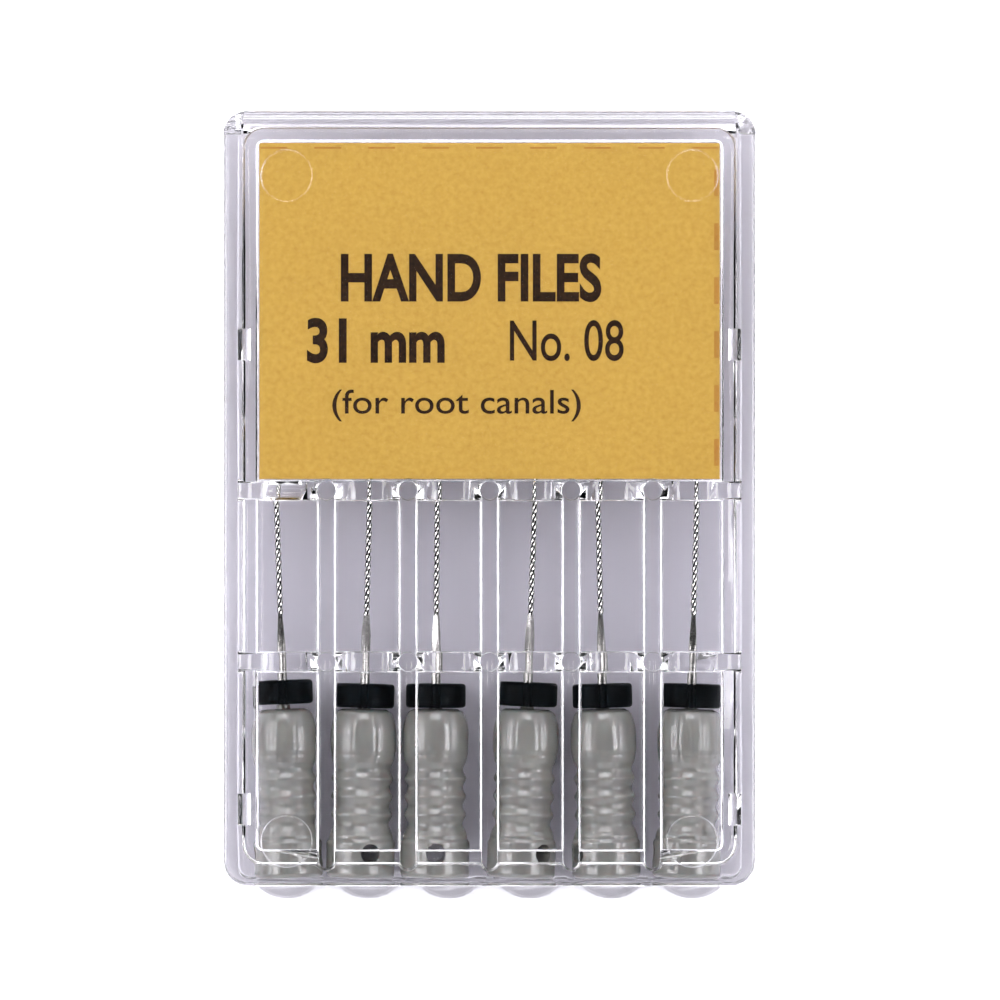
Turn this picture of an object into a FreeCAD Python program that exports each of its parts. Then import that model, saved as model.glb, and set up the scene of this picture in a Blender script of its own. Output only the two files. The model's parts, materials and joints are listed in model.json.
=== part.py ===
"""Pack of six hand-operated root canal files in a clear hinged case, in millimetres.

The case lies on its back. X runs across the channels, +Y towards the hinge, +Z out of
the cover. The origin is under the middle of the case, on the surface that it lies on.
"""
import FreeCAD, Part
import math
import os

# ---- Files -------------------------------------------------------------------
WORKING_LENGTH = 31.0      # from the top of the handle to the tip
FLUTED_LENGTH = 24.7       # twisted part, up to the tip
TAPERED_LENGTH = 16.0      # last part of it, where the taper runs
TIP_D = 0.08               # size 08
TAPER = 0.02               # growth of the diameter for each mm from the tip
SHANK_D = 0.62
SHANK_SLOPE = 0.6          # length of the slope from the shank to the flutes
HANDLE_LENGTH = 11.3
HANDLE_R = 2.3
HANDLE_TOP_R = 1.5
BAND_R = 2.2               # smooth band under the dome
RING_COUNT = 5
RING_PITCH = 1.21
RING_LAND = 0.26           # flat crest of a grip ring
RING_R = 2.06
VALLEY_R = 1.86
FIRST_RING = 3.02          # height of the lowest ring above the handle's end
RING_SLOPE = 0.35          # length of the slope beside the first and the last ring
DOME_HEIGHT = 1.7
END_ROUND = 0.35
EYE_R = 0.65               # cross hole for a safety thread
EYE_HEIGHT = 1.67
TANG_END = 3.0             # end of the tang above the handle's end, clear of the eye
STOPPER_R = 2.0
STOPPER_THICKNESS = 1.6
STOPPER_ROUND = 0.25
STOPPER_BORE_GAP = 0.02    # radial, on the shank
POINTER_DEPTH = 0.3        # notch that shows the stopper's direction
POINTER_WIDTH = 0.6

# Place of each file in its channel: sideways shift of its end, lean in plan in degrees,
# roll of its eye in degrees, and the gap from the handle to the stopper.
FILE_PLACES = [
    (+0.175, -1.90, 95.0, 0.35),
    (-0.525, +1.48, 18.0, 0.10),
    (-0.950, +0.35, 2.0, 0.10),
    (-0.652, +2.20, 41.0, 0.20),
    (-0.327, -1.33, -58.0, 0.10),
    (-0.445, +1.64, -88.0, 0.10),
]

# ---- Case --------------------------------------------------------------------
HANDLE_GAP = 0.85          # between the widest pieces of two neighbouring files
SIDE_ROOM = 0.95           # outer handle to the side wall
END_ROOM = 0.10            # handles to the closing wall
TIP_ROOM = 8.12            # tips to the rear wall
UNDER_HANDLE = 0.10
OVER_HANDLE = 0.20         # handles to the rim that crosses them
FLOOR = 1.0
SIDE_WALL = 0.9
REAR_WALL = 0.9
END_WALL = 0.35
PLATE = 1.0                # top of the cover
RIM_HEIGHT = 1.1           # perimeter rib under the cover
RIM_WIDTH = 0.9
RIM_SIDE_GAP = 0.45        # rib to the side walls
RIM_REAR_GAP = 0.22
RIM_END_SETBACK = 1.12     # rib to the closing wall's inner face
CORNER_R = 1.7
OUTER_ROUND = 0.35         # outer edges of the case's back and front
INSIDE_ROUND = 0.4         # floor to the walls inside
INSIDE_CORNER_R = 0.8
PLATE_GAP = 0.10           # closed cover to the top of the walls
KNUCKLE_DROP = 0.20        # hinge's barrel to the rear wall under it
TAB_R = 2.72
TAB_REACH = 1.08           # round tabs past the closing wall
TAB_ROUND = 0.3
RIDGE_HEIGHT = 0.3
RIDGE_WIDTH = 0.5

# ---- Ribs under the cover ----------------------------------------------------
ROOT_ROUND = 0.12          # ribs to the plate
EDGE_ROUND = 0.08          # free edges of the ribs
DRAFT = 0.04               # taper of each side of a rib, from root to free edge
RIM_CORNER_R = 0.9         # perimeter rib's corners, along its middle
DIVIDER_WIDTH = 1.2
DIVIDER_HEIGHT = 1.3
DIVIDER_END_GAP = 0.70     # rounded end to the closing wall
CROSS_WIDTH = 1.25
CROSS_HEIGHT = 1.2         # beside the dividers
CROSS_NOTCH_HEIGHT = 0.7   # over the middle of a channel
CROSS_NOTCH_WIDTH = 2.0
CROSS_FROM_END = (14.6, 26.05)   # middle of each cross rib, from the closing wall
BOSS_R = 0.70
BOSS_HEIGHT = 1.45
GUIDE_LENGTH = 2.1
GUIDE_GAP = 0.07
GUIDE_FROM_END = (4.75, 35.8)
GUIDE_HEIGHT = 1.9
EJECTOR_R = 1.7
EJECTOR_GROOVE = 0.05      # radius of the round groove that an ejector leaves
EJECTOR_FROM_SIDE = 2.0    # circle's middle to the rib's inner face
EJECTOR_FROM_END = 2.65    # circle's middle to the closing wall
EJECTOR_FROM_REAR = 2.35   # circle's middle to the rib's inner face at the hinge

# ---- Card --------------------------------------------------------------------
CARD_THICKNESS = 0.30
CARD_GAP = 0.10            # behind the plate
CARD_SIDE_GAP = 0.15
CARD_REAR_GAP = 0.14
CARD_FOOT_GAP = 0.06       # card to the cross rib's bosses
CARD_CORNER_R = 0.6

# ---- Hinge -------------------------------------------------------------------
KNUCKLE_R = 0.8
PIN_R = 0.40
PIN_GAP = 0.04             # radial, in the bores
PIN_LENGTH = 0.50
PIN_END_GAP = 0.10
EAR_GAP = 0.15             # ears to the knuckle

# ---- Worked out --------------------------------------------------------------
FILE_COUNT = len(FILE_PLACES)
WIDEST_R = max(HANDLE_R, STOPPER_R)
PITCH = 2 * WIDEST_R + HANDLE_GAP
HALF_INSIDE = FILE_COUNT * PITCH / 2 - HANDLE_GAP / 2 + SIDE_ROOM
HALF_WIDTH = HALF_INSIDE + SIDE_WALL
CASE_LENGTH = END_WALL + END_ROOM + HANDLE_LENGTH + WORKING_LENGTH + TIP_ROOM + REAR_WALL
REAR_Y = (CASE_LENGTH + TAB_REACH) / 2
END_Y = REAR_Y - CASE_LENGTH
END_INSIDE_Y = END_Y + END_WALL
REAR_INSIDE_Y = REAR_Y - REAR_WALL
AXIS_Z = FLOOR + UNDER_HANDLE + WIDEST_R
PLATE_Z = AXIS_Z + WIDEST_R + OVER_HANDLE + RIM_HEIGHT
TOP_Z = PLATE_Z + PLATE
WALL_TOP_Z = PLATE_Z - PLATE_GAP
HINGE_Y = REAR_Y - KNUCKLE_R
HINGE_Z = TOP_Z - KNUCKLE_R
RIM_OUT_X = HALF_INSIDE - RIM_SIDE_GAP
RIM_IN_X = RIM_OUT_X - RIM_WIDTH
RIM_REAR_Y = REAR_INSIDE_Y - RIM_REAR_GAP
RIM_REAR_IN_Y = RIM_REAR_Y - RIM_WIDTH
RIM_END_Y = END_INSIDE_Y + RIM_END_SETBACK
HANDLE_END_Y = END_INSIDE_Y + END_ROOM
CROSS_Y = [END_INSIDE_Y + distance for distance in CROSS_FROM_END]
CHANNEL_X = [(k - (FILE_COUNT - 1) / 2) * PITCH for k in range(FILE_COUNT)]
DIVIDER_X = [(k - FILE_COUNT / 2) * PITCH for k in range(1, FILE_COUNT)]

SAME = 1e-6                # lengths closer than this are equal
X_AXIS = FreeCAD.Vector(1, 0, 0)
Y_AXIS = FreeCAD.Vector(0, 1, 0)
Z_AXIS = FreeCAD.Vector(0, 0, 1)


def point(x, y, z):
    return FreeCAD.Vector(x, y, z)


def block(x0, x1, y0, y1, z0, z1):
    """Box between two corners."""
    return Part.makeBox(x1 - x0, y1 - y0, z1 - z0, point(x0, y0, z0))


def rounded_block(x0, x1, y0, y1, z0, z1, radius):
    """Box whose four upright edges are rounded."""
    body = block(x0, x1, y0, y1, z0, z1)
    upright = [edge for edge in body.Edges if abs(edge.BoundBox.ZLength - (z1 - z0)) < SAME]
    return body.makeFillet(radius, upright)


def fused(first, *others):
    """One solid from pieces that meet."""
    return first.fuse(list(others)).removeSplitter()


def outline(z0, z1, round_z=None):
    """The case's outline between two heights, its edges at round_z rounded."""
    body = rounded_block(-HALF_WIDTH, HALF_WIDTH, END_Y, REAR_Y, z0, z1, CORNER_R)
    if round_z is None:
        return body
    loop = [edge for edge in body.Edges
            if abs(edge.BoundBox.ZMin - round_z) < SAME and abs(edge.BoundBox.ZMax - round_z) < SAME]
    return body.makeFillet(OUTER_ROUND, loop)


def mirrored(shape):
    return shape.mirror(point(0, 0, 0), X_AXIS)


# ---- Tray: moulded bottom half -----------------------------------------------
def round_tab(x):
    """Half-round tab past the closing wall, its rim rounded."""
    centre_y = END_Y - TAB_REACH + TAB_R
    disc = Part.makeCylinder(TAB_R, FLOOR, point(x, centre_y, 0))
    rims = [edge for edge in disc.Edges if isinstance(edge.Curve, Part.Circle)]
    outside = block(x - TAB_R, x + TAB_R, END_Y - TAB_REACH, END_INSIDE_Y - END_WALL / 2, 0, FLOOR)
    return disc.makeFillet(TAB_ROUND, rims).common(outside)


def ear():
    """Upright lug at the hinge end, with a blind bore for the cover's pin."""
    inner_x = RIM_OUT_X + EAR_GAP
    post = block(inner_x, HALF_WIDTH, HINGE_Y - KNUCKLE_R, REAR_Y, 0, HINGE_Z)
    round_top = Part.makeCylinder(KNUCKLE_R, HALF_WIDTH - inner_x,
                                  point(inner_x, HINGE_Y, HINGE_Z), X_AXIS)
    return post.fuse(round_top).common(outline(0, TOP_Z))


def make_tray():
    shell = outline(0, WALL_TOP_Z, round_z=0)
    inside = rounded_block(-HALF_INSIDE, HALF_INSIDE, END_INSIDE_Y, REAR_INSIDE_Y,
                           FLOOR, TOP_Z, INSIDE_CORNER_R)
    floor_edges = [edge for edge in inside.Edges if edge.BoundBox.ZMax < FLOOR + SAME]
    shell = shell.cut(inside.makeFillet(INSIDE_ROUND, floor_edges))
    rear_top_z = HINGE_Z - KNUCKLE_R - KNUCKLE_DROP
    shell = shell.cut(block(-HALF_WIDTH, HALF_WIDTH, HINGE_Y - KNUCKLE_R - EAR_GAP, REAR_Y,
                            rear_top_z, WALL_TOP_Z))
    tabs = [round_tab(x) for x in CHANNEL_X]
    ridges = [block(x - RIDGE_WIDTH / 2, x + RIDGE_WIDTH / 2, END_INSIDE_Y, CROSS_Y[0],
                    FLOOR, FLOOR + RIDGE_HEIGHT) for x in DIVIDER_X]
    tray = fused(shell, ear(), mirrored(ear()), *tabs, *ridges)
    bore_x = RIM_OUT_X + PIN_LENGTH + PIN_END_GAP
    bores = Part.makeCylinder(PIN_R + PIN_GAP, 2 * bore_x,
                              point(-bore_x, HINGE_Y, HINGE_Z), X_AXIS)
    return tray.cut(bores)


# ---- Cover: moulded top half -------------------------------------------------
def rib_side(width, height, side):
    """Points of one side of a moulded rib hanging from the plate, in the XZ plane.

    Its root flares into the plate, its side has draft and its free edge is rounded.
    """
    half = width / 2
    low_half = half - DRAFT
    eased = 1 - math.sqrt(0.5)
    outline_points = [
        (half + ROOT_ROUND, PLATE / 2),
        (half + ROOT_ROUND, 0),
        (half + ROOT_ROUND * eased, -ROOT_ROUND * eased),
        (half, -ROOT_ROUND),
        (low_half, EDGE_ROUND - height),
        (low_half - EDGE_ROUND * eased, EDGE_ROUND * eased - height),
        (low_half - EDGE_ROUND, -height),
    ]
    return [point(side * x, 0, z) for x, z in outline_points]


def side_edges(corners):
    return [
        Part.LineSegment(corners[0], corners[1]).toShape(),
        Part.Arc(corners[1], corners[2], corners[3]).toShape(),
        Part.LineSegment(corners[3], corners[4]).toShape(),
        Part.Arc(corners[4], corners[5], corners[6]).toShape(),
    ]


def section_face(width, height):
    """Face of a rib's whole section."""
    right = rib_side(width, height, 1)
    left = rib_side(width, height, -1)
    edges = [Part.LineSegment(left[0], right[0]).toShape(), *side_edges(right),
             Part.LineSegment(right[-1], left[-1]).toShape(), *side_edges(left)]
    return Part.Face(Part.Wire(Part.__sortEdges__(edges)))


def half_section_face(width, height):
    """Face of a rib's section on one side of its middle."""
    right = rib_side(width, height, 1)
    middle_top = point(0, 0, right[0].z)
    middle_low = point(0, 0, -height)
    edges = [Part.LineSegment(middle_top, right[0]).toShape(), *side_edges(right),
             Part.LineSegment(right[-1], middle_low).toShape(),
             Part.LineSegment(middle_low, middle_top).toShape()]
    return Part.Face(Part.Wire(Part.__sortEdges__(edges)))


def straight_rib(width, height, start, end):
    """Rib between two points of the plate's underside."""
    run = end - start
    face = section_face(width, height)
    face.rotate(point(0, 0, 0), Z_AXIS, math.degrees(math.atan2(-run.x, run.y)))
    face.translate(start)
    return face.extrude(run)


def rib_end(width, height, x, y):
    """Round end of a rib."""
    half = half_section_face(width, height)
    return half.revolve(point(0, 0, 0), Z_AXIS, 360).translated(point(x, y, PLATE_Z))


def rib_corner(width, height, centre, turn):
    """Quarter turn of a rib about a corner's centre, from the angle turn on."""
    face = section_face(width, height)
    face.translate(point(RIM_CORNER_R, 0, 0))
    bend = face.revolve(point(0, 0, 0), Z_AXIS, 90)
    bend.rotate(point(0, 0, 0), Z_AXIS, turn)
    return bend.translated(centre)


def cross_rib(y):
    """Rib across all the channels, shallower and flat over the middle of each."""
    end_x = HALF_INSIDE - GUIDE_GAP
    rib = straight_rib(CROSS_WIDTH, CROSS_HEIGHT, point(-end_x, y, PLATE_Z), point(end_x, y, PLATE_Z))
    slope = CROSS_HEIGHT - CROSS_NOTCH_HEIGHT
    reach = CROSS_WIDTH / 2 + ROOT_ROUND
    for x in CHANNEL_X:
        half = CROSS_NOTCH_WIDTH / 2
        low_z = PLATE_Z - CROSS_HEIGHT
        corners = [point(x - half - slope, y - reach, low_z), point(x + half + slope, y - reach, low_z),
                   point(x + half, y - reach, low_z + slope), point(x - half, y - reach, low_z + slope)]
        face = Part.Face(Part.makePolygon(corners + corners[:1]))
        rib = rib.cut(face.extrude(Y_AXIS * 2 * reach))
    return rib


def divider(x):
    """Rib between two channels, with a rounded end near the closing wall."""
    end_y = END_INSIDE_Y + DIVIDER_END_GAP + DIVIDER_WIDTH / 2
    rib = straight_rib(DIVIDER_WIDTH, DIVIDER_HEIGHT, point(x, end_y, PLATE_Z),
                       point(x, CROSS_Y[1], PLATE_Z))
    return rib.fuse(rib_end(DIVIDER_WIDTH, DIVIDER_HEIGHT, x, end_y))


def perimeter_rib():
    """Rib round the cover, inside the tray's walls."""
    side_x = RIM_OUT_X - RIM_WIDTH / 2
    low_y = RIM_END_Y + RIM_WIDTH / 2
    high_y = RIM_REAR_Y - RIM_WIDTH / 2
    corner_x = side_x - RIM_CORNER_R
    corner_low_y = low_y + RIM_CORNER_R
    corner_high_y = high_y - RIM_CORNER_R
    runs = [((-corner_x, low_y), (corner_x, low_y)), ((side_x, corner_low_y), (side_x, corner_high_y)),
            ((corner_x, high_y), (-corner_x, high_y)), ((-side_x, corner_high_y), (-side_x, corner_low_y))]
    pieces = [straight_rib(RIM_WIDTH, RIM_HEIGHT, point(*start, PLATE_Z), point(*end, PLATE_Z))
              for start, end in runs]
    corners = [(corner_x, corner_high_y, 0), (-corner_x, corner_high_y, 90),
               (-corner_x, corner_low_y, 180), (corner_x, corner_low_y, 270)]
    pieces += [rib_corner(RIM_WIDTH, RIM_HEIGHT, point(x, y, PLATE_Z), turn) for x, y, turn in corners]
    return pieces


def guide(y):
    """Lug on the rib's side that centres the cover between the side walls."""
    return block(RIM_OUT_X - RIM_WIDTH / 2, HALF_INSIDE - GUIDE_GAP, y - GUIDE_LENGTH / 2,
                 y + GUIDE_LENGTH / 2, PLATE_Z - GUIDE_HEIGHT, PLATE_Z)


def make_cover():
    plate = outline(PLATE_Z, TOP_Z, round_z=TOP_Z)
    plate = plate.cut(block(-HALF_WIDTH, HALF_WIDTH, HINGE_Y, REAR_Y, PLATE_Z, TOP_Z))
    notch = block(RIM_OUT_X, HALF_WIDTH, HINGE_Y - KNUCKLE_R - EAR_GAP, REAR_Y,
                  PLATE_Z, TOP_Z)
    plate = plate.cut([notch, mirrored(notch)])
    knuckle = Part.makeCylinder(KNUCKLE_R, 2 * RIM_OUT_X,
                                point(-RIM_OUT_X, HINGE_Y, HINGE_Z), X_AXIS)
    pin_x = RIM_OUT_X + PIN_LENGTH
    pins = Part.makeCylinder(PIN_R, 2 * pin_x, point(-pin_x, HINGE_Y, HINGE_Z), X_AXIS)
    bosses = [rib_end(2 * BOSS_R, BOSS_HEIGHT, x, y) for x in DIVIDER_X for y in CROSS_Y]
    ribs = fused(*perimeter_rib(), *[divider(x) for x in DIVIDER_X],
                 *[cross_rib(y) for y in CROSS_Y], *bosses)
    guides = [guide(END_INSIDE_Y + distance) for distance in GUIDE_FROM_END]
    guides += [mirrored(lug) for lug in guides]
    cover = fused(fused(plate, knuckle, pins, *guides), ribs)
    circle_x = RIM_IN_X - EJECTOR_FROM_SIDE
    circle_y = (END_INSIDE_Y + EJECTOR_FROM_END, RIM_REAR_IN_Y - EJECTOR_FROM_REAR)
    grooves = [Part.makeTorus(EJECTOR_R, EJECTOR_GROOVE, point(x, y, TOP_Z))
               for x in (-circle_x, circle_x) for y in circle_y]
    return cover.cut(grooves)


# ---- Card insert -------------------------------------------------------------
def make_card():
    half = RIM_IN_X - CARD_SIDE_GAP
    top_z = PLATE_Z - CARD_GAP
    foot_y = CROSS_Y[1] + max(CROSS_WIDTH / 2, BOSS_R) + CARD_FOOT_GAP
    return rounded_block(-half, half, foot_y, RIM_REAR_IN_Y - CARD_REAR_GAP,
                         top_z - CARD_THICKNESS, top_z, CARD_CORNER_R)


# ---- File: handle, blade and stopper, each along +Y from the handle's end ----
def line(start, end):
    return Part.LineSegment(point(*start, 0), point(*end, 0)).toShape()


def arc(start, middle, end):
    return Part.Arc(point(*start, 0), point(*middle, 0), point(*end, 0)).toShape()


def turned(edges):
    """Solid of revolution about the Y axis from a closed outline in the XY plane."""
    return Part.Face(Part.Wire(edges)).revolve(point(0, 0, 0), Y_AXIS, 360)


def make_handle():
    corner = END_ROUND * (1 - math.sqrt(0.5))
    half_land = RING_LAND / 2
    first_low = FIRST_RING - half_land
    band_low = FIRST_RING + (RING_COUNT - 1) * RING_PITCH + half_land + RING_SLOPE
    dome_low = HANDLE_LENGTH - DOME_HEIGHT
    edges = [
        line((0, 0), (HANDLE_R - END_ROUND, 0)),
        arc((HANDLE_R - END_ROUND, 0), (HANDLE_R - corner, corner), (HANDLE_R, END_ROUND)),
        line((HANDLE_R, END_ROUND), (HANDLE_R, first_low - RING_SLOPE)),
        line((HANDLE_R, first_low - RING_SLOPE), (RING_R, first_low)),
    ]
    for k in range(RING_COUNT):
        low = first_low + k * RING_PITCH
        edges.append(line((RING_R, low), (RING_R, low + RING_LAND)))
        if k < RING_COUNT - 1:
            valley = low + RING_LAND + (RING_PITCH - RING_LAND) / 2
            edges.append(arc((RING_R, low + RING_LAND), (VALLEY_R, valley),
                             (RING_R, low + RING_PITCH)))
    dome_drop = BAND_R - HANDLE_TOP_R
    shoulder = (HANDLE_TOP_R + dome_drop * math.sqrt(0.5),
                dome_low + DOME_HEIGHT * math.sqrt(0.5))
    edges += [
        line((RING_R, band_low - RING_SLOPE), (BAND_R, band_low)),
        line((BAND_R, band_low), (BAND_R, dome_low)),
        arc((BAND_R, dome_low), shoulder, (HANDLE_TOP_R, HANDLE_LENGTH)),
        line((HANDLE_TOP_R, HANDLE_LENGTH), (0, HANDLE_LENGTH)),
        line((0, HANDLE_LENGTH), (0, 0)),
    ]
    handle = turned(edges)
    eye = Part.makeCylinder(EYE_R, 2 * HANDLE_R, point(0, EYE_HEIGHT, -HANDLE_R))
    tang = Part.makeCylinder(SHANK_D / 2, HANDLE_LENGTH - TANG_END,
                             point(0, TANG_END, 0), Y_AXIS)
    return handle.cut([eye, tang])


def make_blade():
    tip = HANDLE_LENGTH + WORKING_LENGTH
    flutes = tip - FLUTED_LENGTH
    taper_start = tip - TAPERED_LENGTH
    body_r = (TIP_D + TAPER * TAPERED_LENGTH) / 2
    shank_r = SHANK_D / 2
    corners = [(0, TANG_END), (shank_r, TANG_END), (shank_r, flutes), (body_r, flutes + SHANK_SLOPE),
               (body_r, taper_start), (TIP_D / 2, tip - TIP_D), (0, tip)]
    edges = [line(a, b) for a, b in zip(corners, corners[1:] + corners[:1])]
    return turned(edges)


def make_stopper(gap):
    low = HANDLE_LENGTH + gap
    high = low + STOPPER_THICKNESS
    bore_r = SHANK_D / 2 + STOPPER_BORE_GAP
    ring = Part.makeCylinder(STOPPER_R, STOPPER_THICKNESS, point(0, low, 0), Y_AXIS)
    rims = [edge for edge in ring.Edges if isinstance(edge.Curve, Part.Circle)]
    ring = ring.makeFillet(STOPPER_ROUND, rims)
    half = POINTER_WIDTH / 2
    corners = [point(-half, high, STOPPER_R), point(half, high, STOPPER_R),
               point(0, high, STOPPER_R - POINTER_DEPTH)]
    notch = Part.Face(Part.makePolygon(corners + corners[:1])).extrude(-Y_AXIS * STOPPER_THICKNESS)
    bore = Part.makeCylinder(bore_r, STOPPER_THICKNESS, point(0, low, 0), Y_AXIS)
    return ring.cut([notch, bore])


def placed(shape, number, roll):
    """Roll a file's piece about its axis, then lay it leaning in its channel."""
    shift, lean = FILE_PLACES[number][:2]
    shape.rotate(point(0, 0, 0), Y_AXIS, roll)
    shape.rotate(point(0, 0, 0), Z_AXIS, -lean)
    shape.translate(point(CHANNEL_X[number] + shift, HANDLE_END_Y, AXIS_Z))
    return shape


os.makedirs("parts", exist_ok=True)
nodes = {"tray": make_tray(), "cover": make_cover(), "card": make_card()}
for number, (shift, lean, roll, gap) in enumerate(FILE_PLACES):
    nodes[f"handle_{number + 1}"] = placed(make_handle(), number, roll)
    nodes[f"blade_{number + 1}"] = placed(make_blade(), number, roll)
    nodes[f"stopper_{number + 1}"] = placed(make_stopper(gap), number, 0)
    axis_x = math.sin(math.radians(lean))
    axis_y = math.cos(math.radians(lean))
    print(f"file {number + 1}: axis through ({CHANNEL_X[number] + shift:.4f}, "
          f"{HANDLE_END_Y:.4f}, {AXIS_Z:.4f}) along ({axis_x:.6f}, {axis_y:.6f}, 0)")
print(f"hinge: y {HINGE_Y:.4f}, z {HINGE_Z:.4f}")
print(f"case: width {2 * HALF_WIDTH:.3f}, length {CASE_LENGTH + TAB_REACH:.3f}, depth {TOP_Z:.3f}")
for name, shape in nodes.items():
    shape.exportStep(f"parts/{name}.step")
    print(f"{name}: valid {shape.isValid()}, solids {len(shape.Solids)}, {shape.Volume:.3f} mm3")
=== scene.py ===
import json
import math

import bpy
from mathutils import Matrix, Vector


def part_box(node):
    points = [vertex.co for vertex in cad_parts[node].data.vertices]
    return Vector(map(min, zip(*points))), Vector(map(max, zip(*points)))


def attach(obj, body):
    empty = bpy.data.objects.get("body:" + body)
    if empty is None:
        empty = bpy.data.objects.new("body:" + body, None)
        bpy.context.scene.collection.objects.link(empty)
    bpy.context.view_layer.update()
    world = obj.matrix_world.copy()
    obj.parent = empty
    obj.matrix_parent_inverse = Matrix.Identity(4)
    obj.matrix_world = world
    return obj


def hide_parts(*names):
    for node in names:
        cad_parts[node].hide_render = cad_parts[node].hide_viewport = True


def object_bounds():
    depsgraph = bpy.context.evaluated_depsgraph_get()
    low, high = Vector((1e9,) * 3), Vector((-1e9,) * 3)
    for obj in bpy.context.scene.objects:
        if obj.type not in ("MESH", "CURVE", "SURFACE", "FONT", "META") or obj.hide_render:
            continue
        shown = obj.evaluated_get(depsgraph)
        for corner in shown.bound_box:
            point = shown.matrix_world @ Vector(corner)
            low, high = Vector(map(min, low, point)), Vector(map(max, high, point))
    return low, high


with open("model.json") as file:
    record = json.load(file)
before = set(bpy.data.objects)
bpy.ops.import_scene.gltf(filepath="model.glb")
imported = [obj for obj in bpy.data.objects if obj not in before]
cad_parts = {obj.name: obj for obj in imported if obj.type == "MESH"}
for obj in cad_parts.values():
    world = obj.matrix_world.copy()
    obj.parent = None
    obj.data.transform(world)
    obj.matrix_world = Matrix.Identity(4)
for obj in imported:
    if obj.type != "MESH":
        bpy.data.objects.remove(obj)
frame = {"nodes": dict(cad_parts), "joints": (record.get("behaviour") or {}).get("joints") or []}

cad_low, cad_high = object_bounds()

# ---- Table, light and camera ---------------------------------------------------
# The pack lies on its back on a white table, under a wide soft studio sky. A long lens looks
# straight down at it, with the hinge end at the top.
MM = 0.001
bpy.ops.object.select_all(action="DESELECT")


def linear(hex_colour):
    """An sRGB hex colour in linear light."""
    channels = [int(hex_colour[k:k + 2], 16) / 255 for k in (1, 3, 5)]
    return [c / 12.92 if c <= 0.04045 else ((c + 0.055) / 1.055) ** 2.4 for c in channels] + [1.0]


def add(tree, kind, settings=None, links=None):
    """Adds one node, with its settings and what feeds its sockets."""
    node = tree.nodes.new("ShaderNode" + kind)
    for name, value in (settings or {}).items():
        if isinstance(name, int) or name in node.inputs:
            node.inputs[name].default_value = value
        else:
            setattr(node, name, value)
    for name, source in (links or {}).items():
        tree.links.new(source, node.inputs[name])
    return node


def two_tone(tree, source, low_at, low_colour, high_at, high_colour):
    """Blends two sRGB hex colours as a value goes from low_at to high_at."""
    node = add(tree, "ValToRGB", links={"Fac": source})
    low, high = node.color_ramp.elements
    low.position, low.color = low_at, linear(low_colour)
    high.position, high.color = high_at, linear(high_colour)
    return node.outputs["Color"]


def new_finish(name):
    """An empty material and its node tree."""
    finish = bpy.data.materials.new(name)
    finish.use_nodes = True
    finish.node_tree.nodes.clear()
    return finish, finish.node_tree


TABLE_DROP = 0.03 * MM
TABLE_SIZE = 2.0
bpy.ops.mesh.primitive_plane_add(size=TABLE_SIZE, location=(0, 0, cad_low.z - TABLE_DROP))
table = bpy.context.object
table.name = "table"
laminate, tree = new_finish("white_laminate")
surface = add(tree, "BsdfPrincipled", {"Base Color": linear("#ecebf3"), "Roughness": 0.6,
                                       "Specular IOR Level": 0.2})
add(tree, "OutputMaterial", links={"Surface": surface.outputs["BSDF"]})
table.data.materials.append(laminate)

# The sky is a broad white ring. It is dark straight overhead, where the camera stands, and
# grey towards the horizon.
world = bpy.data.worlds.new("studio_sky")
bpy.context.scene.world = world
world.use_nodes = True
tree = world.node_tree
tree.nodes.clear()
direction = add(tree, "TexCoord")
height = add(tree, "SeparateXYZ", links={"Vector": direction.outputs["Generated"]})
sky = add(tree, "ValToRGB", links={"Fac": height.outputs["Z"]})
SKY_STRENGTH = 2.85
SKY_BLUENESS = 1.01
SKY_STEPS = ((0.02, 0.12), (0.22, 0.65), (0.40, 1.0), (0.74, 1.0), (0.86, 0.008))
ramp = sky.color_ramp
for step, (position, level) in enumerate(SKY_STEPS):
    stop = ramp.elements[step] if step < 2 else ramp.elements.new(position)
    stop.position = position
    stop.color = (level, level, level * SKY_BLUENESS, 1)
glow = add(tree, "Background", {"Strength": SKY_STRENGTH}, {"Color": sky.outputs["Color"]})
add(tree, "OutputWorld", links={"Surface": glow.outputs["Background"]})

# Two long soft boxes stand each side of the pack and one stands at its hinge end.
for name, x, y, z, wide, power in (("left_box", -0.55, 0.10, 0.50, 0.50, 6.0),
                                   ("right_box", 0.55, 0.05, 0.50, 0.40, 4.0),
                                   ("head_box", 0.0, 0.60, 0.45, 0.45, 4.0)):
    light = bpy.data.lights.new(name, "AREA")
    light.shape = "RECTANGLE"
    light.size = wide
    light.size_y = wide
    light.energy = power
    lamp = bpy.data.objects.new(name, light)
    bpy.context.scene.collection.objects.link(lamp)
    lamp.location = (x, y, z)
    lamp.rotation_euler = (Vector((0, 0, 0)) - Vector((x, y, z))).to_track_quat("-Z", "Y").to_euler()

VIEW_WIDTH = 66.7 * MM
VIEW_SHIFT_X = 0.70 * MM
VIEW_SHIFT_Y = 0.42 * MM
LENS_DISTANCE = 0.80
camera_data = bpy.data.cameras.new("camera")
camera_data.sensor_width = 36.0
camera_data.lens = camera_data.sensor_width * LENS_DISTANCE / VIEW_WIDTH
camera_data.clip_start = 0.01
camera_data.clip_end = 5.0
camera = bpy.data.objects.new("camera", camera_data)
bpy.context.scene.collection.objects.link(camera)
camera.location = (VIEW_SHIFT_X, VIEW_SHIFT_Y, cad_high.z + LENS_DISTANCE)
bpy.context.scene.camera = camera
bpy.context.scene.view_settings.view_transform = "Standard"

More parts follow.
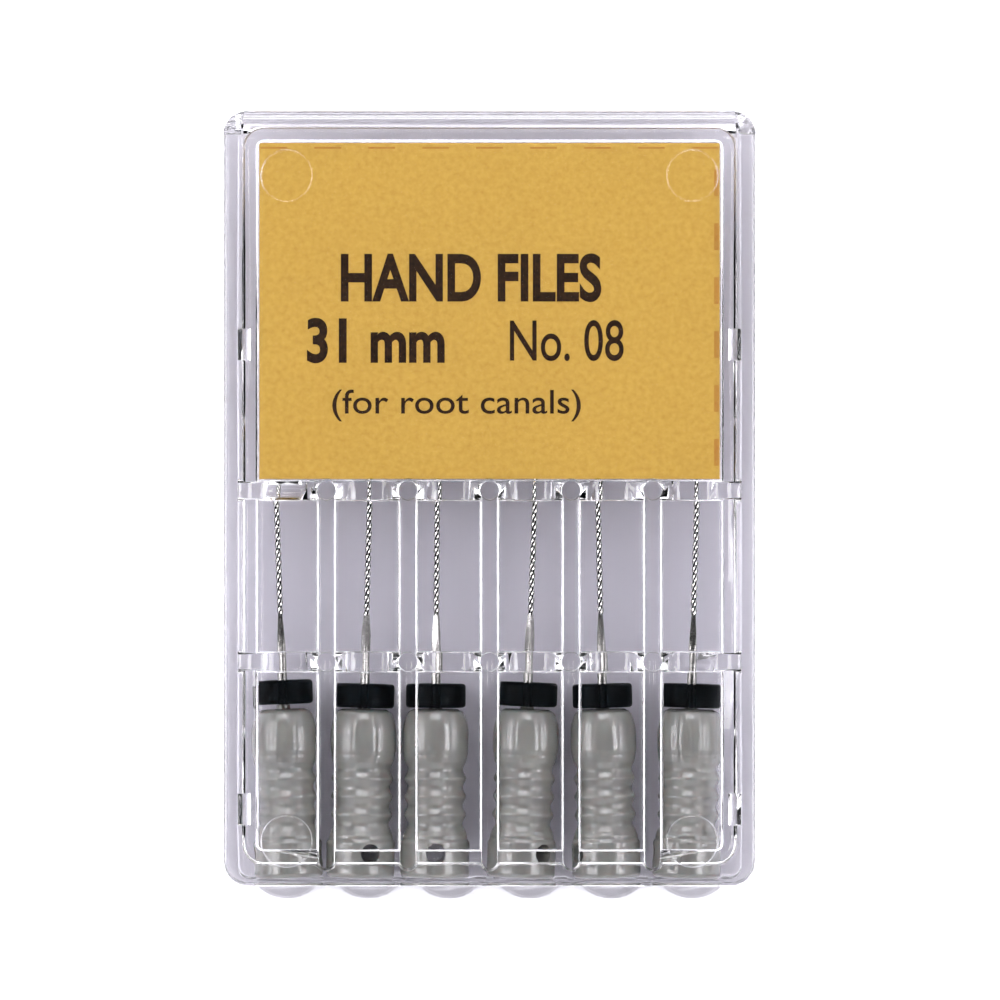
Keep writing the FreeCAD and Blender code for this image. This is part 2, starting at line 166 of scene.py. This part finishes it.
# ---- Tray and cover --------------------------------------------------------------
# The two halves of the case are injection moulded in clear polystyrene, in polished steel
# tools. The ribs' roots and edges are slightly rounded, and catch the light.
clear, tree = new_finish("clear_polystyrene")
place = add(tree, "TexCoord")
flow = add(tree, "TexNoise", {"Scale": 220.0, "Detail": 2.0}, {"Vector": place.outputs["Object"]})
ripple = add(tree, "Bump", {"Strength": 0.06, "Distance": 0.02 * MM},
             {"Height": flow.outputs["Fac"]})
surface = add(tree, "BsdfPrincipled",
              {"Base Color": linear("#fefdff"), "Roughness": 0.015, "IOR": 1.50,
               "Transmission Weight": 1.0}, {"Normal": ripple.outputs["Normal"]})
add(tree, "OutputMaterial", links={"Surface": surface.outputs["BSDF"]})


WELD = 0.0005 * MM
FLAT_ANGLE = math.radians(1.0)
SMOOTH_ANGLE = math.radians(50)


def moulded_copy(node, name):
    """A smoothly shaded copy of a case half."""
    bpy.ops.object.select_all(action="DESELECT")
    piece = frame["nodes"][node].copy()
    piece.data = frame["nodes"][node].data.copy()
    piece.name = name
    for key in list(piece.keys()):
        del piece[key]
    bpy.context.scene.collection.objects.link(piece)
    piece.parent = None
    bpy.context.view_layer.objects.active = piece
    piece.select_set(True)
    bpy.ops.object.mode_set(mode="EDIT")
    bpy.ops.mesh.select_all(action="SELECT")
    bpy.ops.mesh.remove_doubles(threshold=WELD)
    bpy.ops.mesh.dissolve_limited(angle_limit=FLAT_ANGLE)
    bpy.ops.object.mode_set(mode="OBJECT")
    bpy.ops.object.shade_smooth_by_angle(angle=SMOOTH_ANGLE)
    flats = piece.modifiers.new("flat_faces", "WEIGHTED_NORMAL")
    flats.weight = 100
    flats.keep_sharp = True
    bpy.ops.object.modifier_apply(modifier=flats.name)
    piece.data.materials.clear()
    piece.data.materials.append(clear)
    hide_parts(node)
    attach(piece, node)
    return piece


tray = moulded_copy("tray", "tray_moulding")
cover = moulded_copy("cover", "cover_moulding")

# ---- Card ------------------------------------------------------------------------
# The insert is uncoated golden card, cut from a perforated sheet and folded a little at its
# sides to fit behind the cover. Its fibres, soft creases and torn perforations show.
card_low, card_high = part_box("card")
card_width = card_high.x - card_low.x
PERFORATION_PITCH = 3.60 * MM
PERFORATION_LENGTH = 1.80 * MM
PERFORATION_WIDTH = 0.13 * MM
PERFORATION_INSET = 0.33 * MM

CARD_SINK = 0.015 * MM       # card's face below the plain solid's, for the ink
CARD_CUTS = 60
TRIM = 0.03 * MM

bpy.ops.object.select_all(action="DESELECT")
bpy.ops.mesh.primitive_cube_add(size=1.0, location=(card_low + card_high) / 2)
card = bpy.context.object
card.name = "golden_card"
card.scale = (card_width, card_high.y - card_low.y, card_high.z - card_low.z - 2 * CARD_SINK)
bpy.ops.object.transform_apply(location=True, rotation=True, scale=True)
bpy.ops.object.mode_set(mode="EDIT")
bpy.ops.mesh.select_all(action="SELECT")
bpy.ops.mesh.subdivide(number_cuts=CARD_CUTS)
bpy.ops.object.mode_set(mode="OBJECT")
CREASES = ((card_low.x + 0.75 * MM, 0.030), (card_low.x + 1.45 * MM, 0.022),
           (card_high.x - 1.30 * MM, 0.028))
CREASE_WIDTH = 0.35 * MM
for vertex in card.data.vertices:
    for crease_x, depth in CREASES:
        vertex.co.z -= depth * MM * math.exp(-((vertex.co.x - crease_x) / CREASE_WIDTH) ** 2)
trim = card.modifiers.new("cut_edges", "BEVEL")
trim.width = TRIM
trim.segments = 2
trim.angle_limit = math.radians(60)
bpy.context.view_layer.objects.active = card
card.select_set(True)
bpy.ops.object.modifier_apply(modifier=trim.name)
bpy.ops.object.shade_smooth_by_angle(angle=SMOOTH_ANGLE)

paper, tree = new_finish("golden_uncoated_card")
place = add(tree, "TexCoord")
fibres = add(tree, "TexNoise", {"Scale": 2600.0, "Detail": 4.0, "Roughness": 0.65},
             {"Vector": place.outputs["Object"]})
clouds = add(tree, "TexNoise", {"Scale": 160.0, "Detail": 3.0}, {"Vector": place.outputs["Object"]})
tone = add(tree, "Mix", {"data_type": "RGBA"}, {"Factor": clouds.outputs["Fac"]})
tone.inputs[6].default_value = linear("#b6923d")
tone.inputs[7].default_value = linear("#af8a38")
speckle = two_tone(tree, fibres.outputs["Fac"], 0.30, "#9f782d", 0.62, "#bc9c46")
stock = add(tree, "Mix", {"data_type": "RGBA", "Factor": 0.45})
tree.links.new(tone.outputs[2], stock.inputs[6])
tree.links.new(speckle, stock.inputs[7])
# Torn perforations are darker dashes, one row along the top edge and one down the right edge.
axes = add(tree, "SeparateXYZ", links={"Vector": place.outputs["Object"]})
along = {"X": ("Y", card_high.y - PERFORATION_INSET, PERFORATION_WIDTH),
         "Y": ("X", card_high.x - 0.22 * MM, 0.32 * MM)}
dashes = []
for run_axis, (cross_axis, line_at, width) in along.items():
    beat = add(tree, "Math", {"operation": "PINGPONG", 1: PERFORATION_PITCH / 2},
               {0: axes.outputs[run_axis]})
    dash = add(tree, "Math", {"operation": "LESS_THAN", 1: PERFORATION_LENGTH / 2},
               {0: beat.outputs[0]})
    across = add(tree, "Math", {"operation": "COMPARE", 1: line_at, 2: width / 2},
                 {0: axes.outputs[cross_axis]})
    dashes.append(add(tree, "Math", {"operation": "MULTIPLY"},
                      {0: dash.outputs[0], 1: across.outputs[0]}))
torn = add(tree, "Math", {"operation": "MAXIMUM"}, {0: dashes[0].outputs[0], 1: dashes[1].outputs[0]})
ragged = add(tree, "Math", {"operation": "MULTIPLY"}, {0: torn.outputs[0], 1: fibres.outputs["Fac"]})
torn_colour = add(tree, "Mix", {"data_type": "RGBA"}, {"Factor": ragged.outputs[0]})
tree.links.new(stock.outputs[2], torn_colour.inputs[6])
torn_colour.inputs[7].default_value = linear("#8a4406")
nap = add(tree, "Bump", {"Strength": 0.35, "Distance": 0.02 * MM}, {"Height": fibres.outputs["Fac"]})
surface = add(tree, "BsdfPrincipled", {"Roughness": 0.78, "Specular IOR Level": 0.35},
              {"Base Color": torn_colour.outputs[2], "Normal": nap.outputs["Normal"]})
add(tree, "OutputMaterial", links={"Surface": surface.outputs["BSDF"]})
card.data.materials.append(paper)
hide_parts("card")
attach(card, "cover")

# ---- Printing on the card --------------------------------------------------------
# A heading, the length, the size number and a line in brackets are offset printed in dark
# brown ink. The words are plain descriptions.
ink, tree = new_finish("brown_offset_ink")
place = add(tree, "TexCoord")
soak = add(tree, "TexNoise", {"Scale": 3500.0, "Detail": 3.0}, {"Vector": place.outputs["Object"]})
coverage = two_tone(tree, soak.outputs["Fac"], 0.30, "#1d110a", 0.80, "#33200f")
surface = add(tree, "BsdfPrincipled", {"Roughness": 0.5, "Specular IOR Level": 0.1},
              {"Base Color": coverage})
add(tree, "OutputMaterial", links={"Surface": surface.outputs["BSDF"]})

INK_LIFT = 0.004 * MM
INK_THICKNESS = 0.008 * MM
CAP_SHARE = 0.70     # height of a capital to the letter's nominal size
LINES = (
    ("heading", "HAND FILES", 3.00, (-1.3, 15.3), 17.4, 0.030),
    ("length", "31 mm", 2.80, (-7.6, 11.1), 9.2, 0.030),
    ("size_number", "No. 08", 2.70, (5.1, 11.1), 7.6, 0.006),
    ("purpose", "(for root canals)", 1.60, (-2.2, 7.0), 16.6, 0.004),
)
for name, words, cap_height, middle, width, weight in LINES:
    bpy.ops.object.select_all(action="DESELECT")
    bpy.ops.object.text_add(location=(0, 0, 0))
    lettering = bpy.context.object
    lettering.name = "ink_" + name
    letters = lettering.data
    letters.body = words
    letters.align_x = "CENTER"
    letters.size = cap_height * MM / CAP_SHARE
    letters.offset = weight * letters.size
    letters.extrude = INK_THICKNESS / 2
    letters.resolution_u = 6
    bpy.ops.object.convert(target="MESH")
    lettering = bpy.context.object
    spread = width * MM / lettering.dimensions.x
    lettering.scale = (spread, 1.0, 1.0)
    lettering.location = (middle[0] * MM, (middle[1] - cap_height / 2) * MM,
                          card_high.z - CARD_SINK + INK_LIFT + INK_THICKNESS / 2)
    bpy.ops.object.transform_apply(location=True, rotation=True, scale=True)
    lettering.data.materials.append(ink)
    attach(lettering, "cover")

# ---- Handles ---------------------------------------------------------------------
# Each handle is injection moulded round the blade's tang in warm grey nylon, with five grip
# rings, a domed shoulder, a cross eye for a safety thread and a fine parting line each side.
joints = {joint["name"]: joint for joint in frame["joints"]}
FILE_COUNT = 6
ROLLS = (95.0, 18.0, 2.0, 41.0, -58.0, -88.0)
NUB_HEIGHTS = (0.30, 0.06, 0.06, 0.16, 0.06, 0.06)
HANDLE_LENGTH = 11.3
HANDLE_SIDES = 72
END_R = 2.3
BAND_R = 2.2
TOP_R = 1.5
RING_R = 2.06
VALLEY_R = 1.84
FIRST_RING = 3.02
RING_PITCH = 1.21
RING_COUNT = 5
RING_SLOPE = 0.5
DOME_HEIGHT = 1.7
EYE_R = 0.65
EYE_HEIGHT = 1.67


def turned(name, rings, sides):
    """A shape turned about Z: a ring of points, extruded and scaled along (radius, height) in mm."""
    bpy.ops.object.select_all(action="DESELECT")
    bpy.ops.mesh.primitive_circle_add(vertices=sides, radius=rings[0][0] * MM,
                                      location=(0, 0, rings[0][1] * MM))
    piece = bpy.context.object
    piece.name = name
    bpy.ops.object.transform_apply(location=True, rotation=True, scale=True)
    bpy.ops.object.mode_set(mode="EDIT")
    bpy.ops.mesh.select_all(action="SELECT")
    for (radius, height), (next_radius, next_height) in zip(rings, rings[1:]):
        rise = (next_height - height) * MM
        bpy.ops.mesh.extrude_region_move(TRANSFORM_OT_translate={"value": (0, 0, rise)})
        growth = next_radius / radius
        bpy.ops.transform.resize(value=(growth, growth, 1.0), center_override=(0, 0, 0))
    bpy.ops.mesh.select_all(action="SELECT")
    bpy.ops.mesh.remove_doubles(threshold=0.0004 * MM)
    return piece


def finish_turned(piece):
    """Closes the two ends and points the faces outwards."""
    bpy.ops.mesh.select_all(action="DESELECT")
    bpy.ops.mesh.select_non_manifold()
    bpy.ops.mesh.edge_face_add()
    bpy.ops.mesh.select_all(action="SELECT")
    bpy.ops.mesh.normals_make_consistent(inside=False)
    bpy.ops.object.mode_set(mode="OBJECT")
    return piece


def grip_radius(height):
    """Radius of the handle at a height above its end."""
    last_ring = FIRST_RING + (RING_COUNT - 1) * RING_PITCH
    if FIRST_RING <= height <= last_ring:
        beat = abs(math.sin(math.pi * (height - FIRST_RING) / RING_PITCH))
        return RING_R - (RING_R - VALLEY_R) * beat ** 1.6
    if height < FIRST_RING:
        groove = math.exp(-((height - FIRST_RING + 0.42) / 0.16) ** 2)
        ease = max(0.0, height - FIRST_RING + RING_SLOPE) / RING_SLOPE
        return END_R - (END_R - RING_R) * ease - 0.12 * groove
    if height < HANDLE_LENGTH - DOME_HEIGHT:
        groove = math.exp(-((height - last_ring - 0.45) / 0.18) ** 2)
        ease = min(1.0, (height - last_ring) / RING_SLOPE)
        return RING_R + (BAND_R - RING_R) * ease - 0.05 * groove
    rise = (height - HANDLE_LENGTH + DOME_HEIGHT) / DOME_HEIGHT
    return TOP_R + (BAND_R - TOP_R) * math.sqrt(max(0.0, 1 - rise ** 1.8))


def lay_in_channel(piece, number, roll):
    """Lays a piece made standing on Z along the axis of its file, rolled about it."""
    joint = joints[f"file_{number}_roll"]
    lean = math.atan2(joint["axis"][0], joint["axis"][1])
    place = Matrix.Translation(Vector(joint["pos_m"])) @ Matrix.Rotation(-lean, 4, "Z")
    place = place @ Matrix.Rotation(math.radians(-90), 4, "X")
    piece.matrix_world = place @ Matrix.Rotation(math.radians(roll), 4, "Z")
    bpy.ops.object.select_all(action="DESELECT")
    piece.select_set(True)
    bpy.context.view_layer.objects.active = piece
    bpy.ops.object.transform_apply(location=True, rotation=True, scale=True)


def copy_of(piece, name):
    """A copy with a mesh of its own."""
    twin = piece.copy()
    twin.data = piece.data.copy()
    twin.name = name
    bpy.context.scene.collection.objects.link(twin)
    return twin


RING_STEP = 0.07
profile = [(END_R - 0.30, 0.0), (END_R - 0.16, 0.03), (END_R - 0.05, 0.13), (END_R, 0.30)]
heights = [0.30 + RING_STEP * k for k in range(1, int((HANDLE_LENGTH - 0.32) / RING_STEP))]
profile += [(grip_radius(height), height) for height in heights]
profile += [(TOP_R + 0.06, HANDLE_LENGTH - 0.05), (TOP_R - 0.03, HANDLE_LENGTH),
            (0.46, HANDLE_LENGTH)]


def cut_with(piece, cutter, operation):
    """Applies a boolean with a cutter, which is then removed."""
    cut = piece.modifiers.new("cut", "BOOLEAN")
    cut.operation = operation
    cut.solver = "EXACT"
    cut.object = cutter
    bpy.context.view_layer.objects.active = piece
    bpy.ops.object.modifier_apply(modifier=cut.name)
    bpy.data.objects.remove(cutter)


nylon, tree = new_finish("warm_grey_nylon")
place = add(tree, "TexCoord")
haze = add(tree, "TexNoise", {"Scale": 450.0, "Detail": 3.0}, {"Vector": place.outputs["Object"]})
grain = add(tree, "TexNoise", {"Scale": 5200.0, "Detail": 2.0}, {"Vector": place.outputs["Object"]})
pigment = two_tone(tree, haze.outputs["Fac"], 0.25, "#6f6f6c", 0.75, "#7d7d78")
gloss = add(tree, "MapRange", {"To Min": 0.11, "To Max": 0.20}, {"Value": haze.outputs["Fac"]})
skin = add(tree, "Bump", {"Strength": 0.25, "Distance": 0.012 * MM}, {"Height": grain.outputs["Fac"]})
wave = add(tree, "Bump", {"Strength": 0.5, "Distance": 0.05 * MM},
           {"Height": haze.outputs["Fac"], "Normal": skin.outputs["Normal"]})
surface = add(tree, "BsdfPrincipled",
              {"IOR": 1.53, "Subsurface Weight": 0.10, "Subsurface Scale": 0.4 * MM},
              {"Base Color": pigment, "Roughness": gloss.outputs["Result"],
               "Normal": wave.outputs["Normal"]})
add(tree, "OutputMaterial", links={"Surface": surface.outputs["BSDF"]})

for number in range(1, FILE_COUNT + 1):
    nub = NUB_HEIGHTS[number - 1]
    grip = turned(f"grip_{number}", profile + [(0.44, HANDLE_LENGTH + nub)], HANDLE_SIDES)
    finish_turned(grip)
    # The parting line stands proud where the two halves of the mould met.
    for vertex in grip.data.vertices:
        around = math.atan2(vertex.co.y, vertex.co.x)
        if abs(math.sin(around)) < 0.02 and abs(vertex.co.x) > 1.0 * MM:
            vertex.co.x *= 1.008
    bpy.ops.object.select_all(action="DESELECT")
    bpy.ops.mesh.primitive_cylinder_add(vertices=40, radius=EYE_R * MM, depth=6 * MM,
                                        location=(0, 0, EYE_HEIGHT * MM),
                                        rotation=(math.radians(90), 0, 0))
    cut_with(grip, bpy.context.object, "DIFFERENCE")
    grip.select_set(True)
    bpy.ops.object.shade_smooth_by_angle(angle=math.radians(38))
    grip.data.materials.append(nylon)
    lay_in_channel(grip, number, ROLLS[number - 1])
    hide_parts(f"handle_{number}")
    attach(grip, f"file_{number}")

# ---- Blades ----------------------------------------------------------------------
# A blade is drawn stainless wire, ground to a tapered square and twisted, so that its four
# edges wind round it. The ground flats run out in a wedge below the first turn.
TANG_END = 3.0
TIP_HEIGHT = HANDLE_LENGTH + 31.0
FLUTE_START = TIP_HEIGHT - 24.7
WEDGE_LENGTH = 3.0
SHANK_R = 0.31
FLUTE_R = 0.20
TIP_R = 0.04
TAPERED_LENGTH = 16.0
TURN_PITCH = 2.2
FLUTE_STEP = 0.11
SHANK_DARKENING = 0.385
FLAT_SHARE = 0.71    # middle of a flat to its corners, from the axis


def flute_radius(height):
    """Half the distance across the corners of the twisted square."""
    from_tip = TIP_HEIGHT - height
    return TIP_R + (FLUTE_R - TIP_R) * min(1.0, from_tip / TAPERED_LENGTH)


steel, tree = new_finish("twisted_stainless_wire")
place = add(tree, "TexCoord")
drawn = add(tree, "TexNoise", {"Scale": 9000.0, "Detail": 2.0}, {"Vector": place.outputs["Object"]})
lines = add(tree, "Bump", {"Strength": 0.15, "Distance": 0.004 * MM}, {"Height": drawn.outputs["Fac"]})
wear = add(tree, "MapRange", {"To Min": 0.20, "To Max": 0.32}, {"Value": drawn.outputs["Fac"]})
# The flats between the twisted corners keep a bright steel colour. The corners, where two flats meet,
# are painted near black, a painted shade standing in for dark reflections.
corner = add(tree, "Attribute", {"attribute_name": "painted_corner_shade_and_shank_tone"})
steel_and_painted_shade = two_tone(tree, corner.outputs["Fac"], 0.26, "#e2e0dc", 0.44, "#050505")
surface = add(tree, "BsdfPrincipled", {"Metallic": 1.0},
              {"Base Color": steel_and_painted_shade, "Roughness": wear.outputs["Result"],
               "Normal": lines.outputs["Normal"]})
add(tree, "OutputMaterial", links={"Surface": surface.outputs["BSDF"]})

shank = turned("shank", [(SHANK_R, TANG_END), (SHANK_R, FLUTE_START)], 24)
finish_turned(shank)
wedge_low = FLUTE_START - WEDGE_LENGTH
wedge_r = SHANK_R * math.sqrt(2) + 0.01
ground = turned("ground_flats", [(wedge_r, TANG_END - 0.1), (wedge_r, wedge_low),
                                 (FLUTE_R, FLUTE_START + 0.01)], 4)
finish_turned(ground)
cut_with(shank, ground, "INTERSECT")
# The plain shank's steel colour is mixed part way towards the corners' painted near-black.
shank_tone = shank.data.attributes.new("painted_corner_shade_and_shank_tone", "FLOAT", "POINT")
for value in shank_tone.data:
    value.value = SHANK_DARKENING

flute_count = int((TIP_HEIGHT - 0.15 - FLUTE_START) / FLUTE_STEP)
flute_rings = [(flute_radius(FLUTE_START + k * FLUTE_STEP), FLUTE_START + k * FLUTE_STEP)
               for k in range(flute_count + 1)]
flute_rings += [(TIP_R * 0.2, TIP_HEIGHT)]
flutes = turned("flutes", flute_rings, 8)
finish_turned(flutes)
# Full painted shade at the flute corners, none on the flats.
corners = flutes.data.attributes.new("painted_corner_shade_and_shank_tone", "FLOAT", "POINT")
for vertex in flutes.data.vertices:
    around = math.atan2(vertex.co.y, vertex.co.x)
    if abs(math.sin(2 * around)) > 0.5:
        vertex.co.x *= FLAT_SHARE
        vertex.co.y *= FLAT_SHARE
    else:
        corners.data[vertex.index].value = 1.0
    turn = 2 * math.pi * (vertex.co.z / MM - FLUTE_START) / TURN_PITCH
    vertex.co = Matrix.Rotation(turn, 3, "Z") @ vertex.co
bpy.ops.object.select_all(action="DESELECT")
flutes.select_set(True)
shank.select_set(True)
bpy.context.view_layer.objects.active = shank
bpy.ops.object.join()
shank.data.materials.append(steel)
bpy.ops.object.shade_smooth_by_angle(angle=math.radians(28))

for number in range(1, FILE_COUNT + 1):
    wire = copy_of(shank, f"wire_{number}")
    lay_in_channel(wire, number, ROLLS[number - 1] + 37.0 * number)
    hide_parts(f"blade_{number}")
    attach(wire, f"file_{number}")
bpy.data.objects.remove(shank)

# ---- Stoppers --------------------------------------------------------------------
# A stopper is a moulded disc of black silicone, stretched over the shank. Its rims are
# rounded, and a notch in its edge shows which way the file points.
STOPPER_R = 2.0
STOPPER_THICKNESS = 1.6
STOPPER_ROUND = 0.22
STOPPER_BORE_R = 0.33
STOPPER_GAPS = (0.35, 0.10, 0.10, 0.20, 0.10, 0.10)

silicone, tree = new_finish("black_silicone")
place = add(tree, "TexCoord")
sheen_and_bump_noise = add(tree, "TexNoise", {"Scale": 900.0, "Detail": 4.0}, {"Vector": place.outputs["Object"]})
# Faint teal patches in the near-black colour are a painted sheen.
painted_sheen = two_tone(tree, sheen_and_bump_noise.outputs["Fac"], 0.35, "#020406", 0.80, "#050d12")
drag = add(tree, "Bump", {"Strength": 0.2, "Distance": 0.02 * MM}, {"Height": sheen_and_bump_noise.outputs["Fac"]})
surface = add(tree, "BsdfPrincipled", {"Roughness": 0.42, "IOR": 1.41, "Specular IOR Level": 0.04},
              {"Base Color": painted_sheen, "Normal": drag.outputs["Normal"]})
add(tree, "OutputMaterial", links={"Surface": surface.outputs["BSDF"]})

rim = [(STOPPER_R - STOPPER_ROUND * (1 - math.sin(math.radians(turn))),
        STOPPER_ROUND * (1 - math.cos(math.radians(turn)))) for turn in (0, 22, 45, 68, 90)]
disc_outline = [(STOPPER_BORE_R, 0.0), *rim,
                *[(radius, STOPPER_THICKNESS - height) for radius, height in reversed(rim)],
                (STOPPER_BORE_R + 0.1, STOPPER_THICKNESS - 0.02),
                (STOPPER_BORE_R, STOPPER_THICKNESS - 0.1), (STOPPER_BORE_R, 0.0)]
disc = turned("disc", disc_outline, 72)
bpy.ops.mesh.select_all(action="SELECT")
bpy.ops.mesh.normals_make_consistent(inside=False)
bpy.ops.object.mode_set(mode="OBJECT")
bpy.ops.object.select_all(action="DESELECT")
bpy.ops.mesh.primitive_cylinder_add(vertices=24, radius=0.30 * MM, depth=4 * MM,
                                    location=(0, -(STOPPER_R + 0.06) * MM, 0))
cut_with(disc, bpy.context.object, "DIFFERENCE")
disc.select_set(True)
bpy.ops.object.shade_smooth_by_angle(angle=math.radians(45))
disc.data.materials.append(silicone)
for number in range(1, FILE_COUNT + 1):
    stopper = copy_of(disc, f"silicone_stop_{number}")
    for vertex in stopper.data.vertices:
        vertex.co.z += (HANDLE_LENGTH + STOPPER_GAPS[number - 1]) * MM
    lay_in_channel(stopper, number, 0.0)
    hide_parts(f"stopper_{number}")
    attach(stopper, f"stopper_{number}")
bpy.data.objects.remove(disc)
